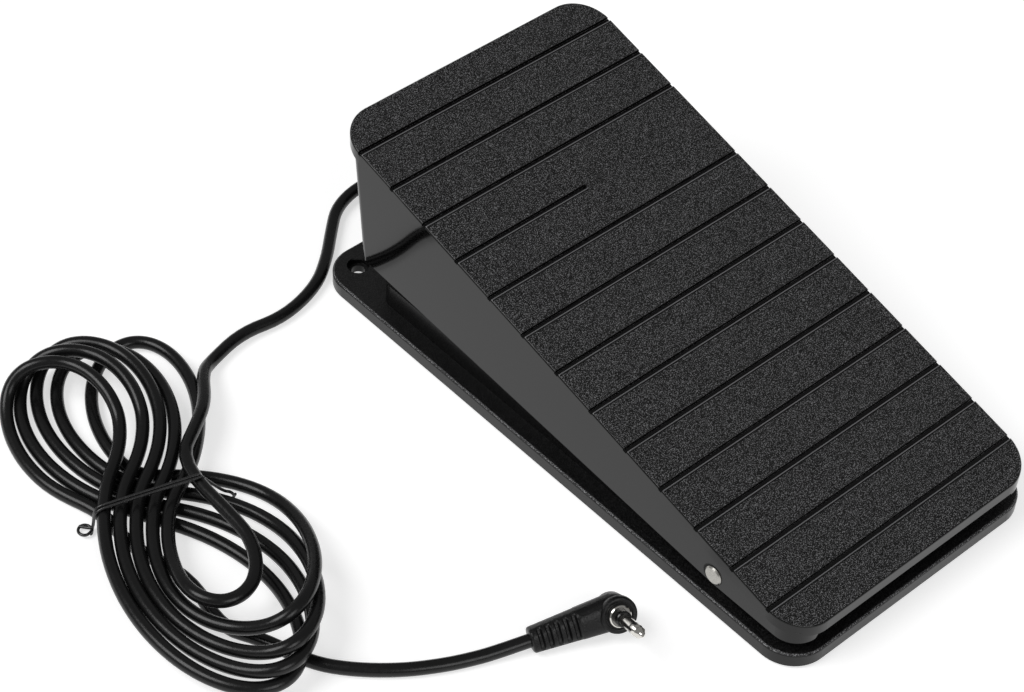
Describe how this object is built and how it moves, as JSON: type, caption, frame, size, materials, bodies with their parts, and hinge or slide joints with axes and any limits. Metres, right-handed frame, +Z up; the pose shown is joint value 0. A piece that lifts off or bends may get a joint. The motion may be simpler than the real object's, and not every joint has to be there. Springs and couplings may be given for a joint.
{
  "type": "foot switch",
  "caption": "Push-to-talk foot switch: ribbed treadle hinged on a flat base, with a hanked cord and a right-angle plug.",
  "frame": {"origin": "on the floor under the middle of the base", "axes": "+X across the treadle, +Y towards its raised rear end, where the cord leaves, +Z up"},
  "size_m": [0.2265, 0.229, 0.0678],
  "materials": {
    "base_plastic": "moulded plastic, satin sides",
    "pedal_plastic": "moulded plastic, glossy walls and a grained top",
    "pad_rubber": "matt rubber",
    "bush_plastic": "natural acetal",
    "pin_steel": "turned steel",
    "spring_steel": "bright spring wire",
    "switch_plastic": "moulded phenolic",
    "plunger_plastic": "moulded",
    "lever_steel": "stamped stainless strip",
    "terminal_brass": "tinned brass",
    "screw_steel": "zinc plated",
    "gland_rubber": "moulded",
    "cord_jacket": "smooth flexible jacket with a slight sheen",
    "wire_jacket": "smooth",
    "tie_plastic": "plastic coated wire",
    "plug_rubber": "moulded over the cord",
    "plug_nickel": "nickel plated",
    "plug_black": "insulating ring"
  },
  "bodies": {
    "base": {"base_tray": "base_plastic", "rubber_feet": "pad_rubber", "pivot_bushes": "bush_plastic", "return_spring": "spring_steel", "switch_case": "switch_plastic", "switch_cover": "switch_plastic", "switch_terminals": "terminal_brass", "switch_screws": "screw_steel", "rest_stops": "pad_rubber", "bump_stops": "pad_rubber", "cord_gland": "gland_rubber", "cord_inner": "cord_jacket", "cord_clamp": "base_plastic", "clamp_screws": "screw_steel", "signal_wires": "wire_jacket", "cord_lead": "cord_jacket", "cord_hank": "cord_jacket", "cord_tail": "cord_jacket", "cord_tie": "tie_plastic", "plug_relief": "plug_rubber", "plug_head": "plug_rubber", "plug_collar": "plug_nickel", "plug_barrel": "plug_nickel", "plug_sleeve": "plug_nickel", "plug_insulator": "plug_black", "plug_tip": "plug_nickel"},
    "pedal": {"pedal_cover": "pedal_plastic", "pivot_pin": "pin_steel"},
    "lever": {"switch_lever": "lever_steel"},
    "plunger": {"switch_plunger": "plunger_plastic"}
  },
  "joints": [
    {"name": "pedal_hinge", "type": "hinge", "parent": "base", "child": "pedal", "pos_m": [0, -0.0686, 0.0133], "axis": [-1, 0, 0], "range_deg": [0, 4.77], "stiffness_Nm_per_rad": 7, "springref_deg": -6.59, "deforming": ["return_spring"]},
    {"name": "switch_lever_hinge", "type": "hinge", "parent": "base", "child": "lever", "pos_m": [0.018, -0.0378, 0.0231], "axis": [-1, 0, 0], "range_deg": [0, 12.7]},
    {"name": "switch_plunger_slide", "type": "slide", "parent": "base", "child": "plunger", "axis": [0, 0, -1], "range_m": [0, 0.0012]}
  ],
  "couplings": [
    {"joint": "switch_lever_hinge", "follows": "pedal_hinge", "ratio": 2.6415},
    {"joint": "switch_plunger_slide", "follows": "pedal_hinge", "m_per_rad": 0.014264}
  ]
}
